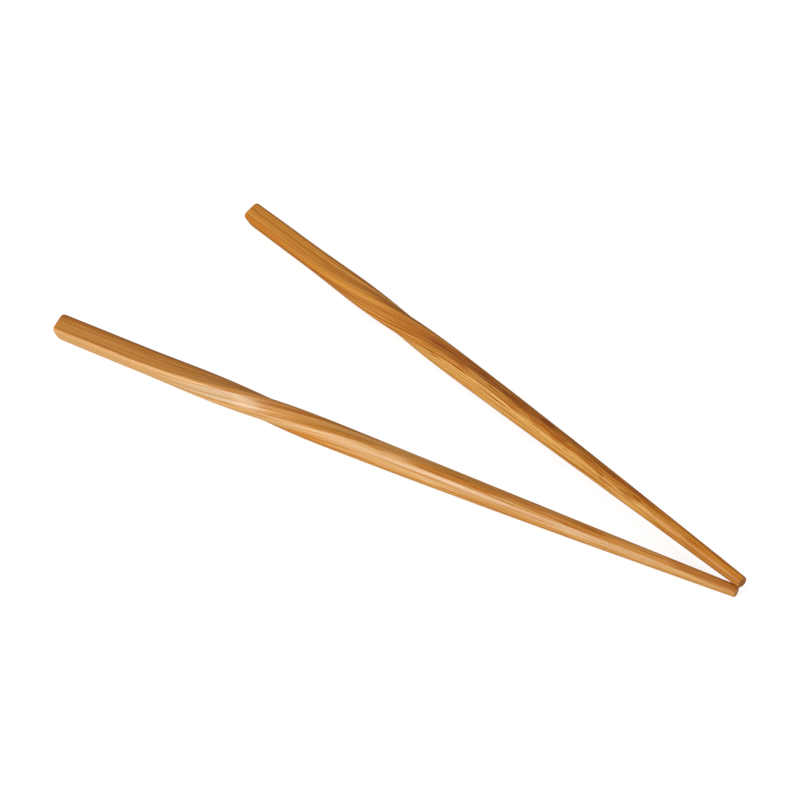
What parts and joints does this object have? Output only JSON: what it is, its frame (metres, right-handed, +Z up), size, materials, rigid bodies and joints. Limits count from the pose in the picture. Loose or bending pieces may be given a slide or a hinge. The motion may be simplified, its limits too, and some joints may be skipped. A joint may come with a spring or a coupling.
{
  "type": "pair of chopsticks",
  "caption": "Bamboo chopsticks with square handles, a left-handed twist below the grip and a taper to a round tip, lying in a narrow V with one tip on the other.",
  "frame": {"origin": "at table height, under the middle of the pair's bounding box", "axes": "+X from the handles to the tips along the middle of the V, +Z up from the table, +Y towards the upper stick's handle"},
  "size_m": [0.2374, 0.0982, 0.0096],
  "materials": {
    "lower_bamboo": "smooth golden-brown bamboo with fine lengthwise fibres and a thin satin lacquer",
    "upper_bamboo": "smooth orange-brown bamboo with dark flecked fibres and a thin satin lacquer"
  },
  "bodies": {
    "root": {"lower_chopstick": "lower_bamboo", "upper_chopstick": "upper_bamboo"}
  },
  "joints": []
}
